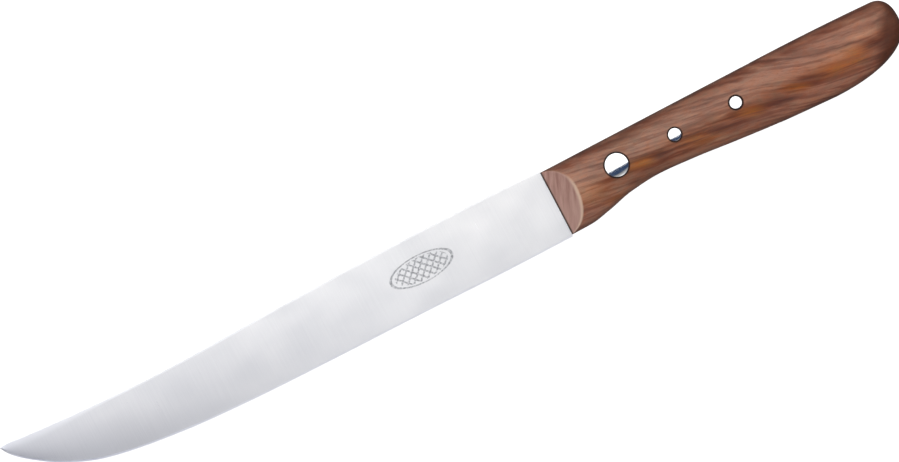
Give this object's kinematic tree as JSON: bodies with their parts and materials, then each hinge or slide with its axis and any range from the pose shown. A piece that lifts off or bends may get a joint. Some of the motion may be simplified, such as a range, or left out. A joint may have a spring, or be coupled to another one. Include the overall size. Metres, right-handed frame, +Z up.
{
  "type": "butcher's slicing knife",
  "caption": "Butcher's slicing knife: long, full-height ground steel blade with a rounded belly and trailing point, riveted into a bevelled one-piece wooden handle.",
  "frame": {"origin": "centre of the bounding box at the resting surface, with the knife lying flat on its side", "axes": "+X from the tip towards the butt, +Y from the cutting edge towards the spine, +Z up through the thickness, out of the blade's left side"},
  "size_m": [0.3287, 0.0264, 0.0185],
  "materials": {
    "blade_steel": "fine satin grind with a thin cutting bevel",
    "handle_wood": "oiled plum-brown wood, semi-gloss, dark growth bands",
    "rivet_metal": "mirror-polished, ground flush with the wood"
  },
  "bodies": {
    "root": {"blade_with_tang": "blade_steel", "handle": "handle_wood", "front_rivet_male": "rivet_metal", "front_rivet_female": "rivet_metal", "middle_rivet_male": "rivet_metal", "middle_rivet_female": "rivet_metal", "rear_rivet_male": "rivet_metal", "rear_rivet_female": "rivet_metal"}
  },
  "joints": []
}
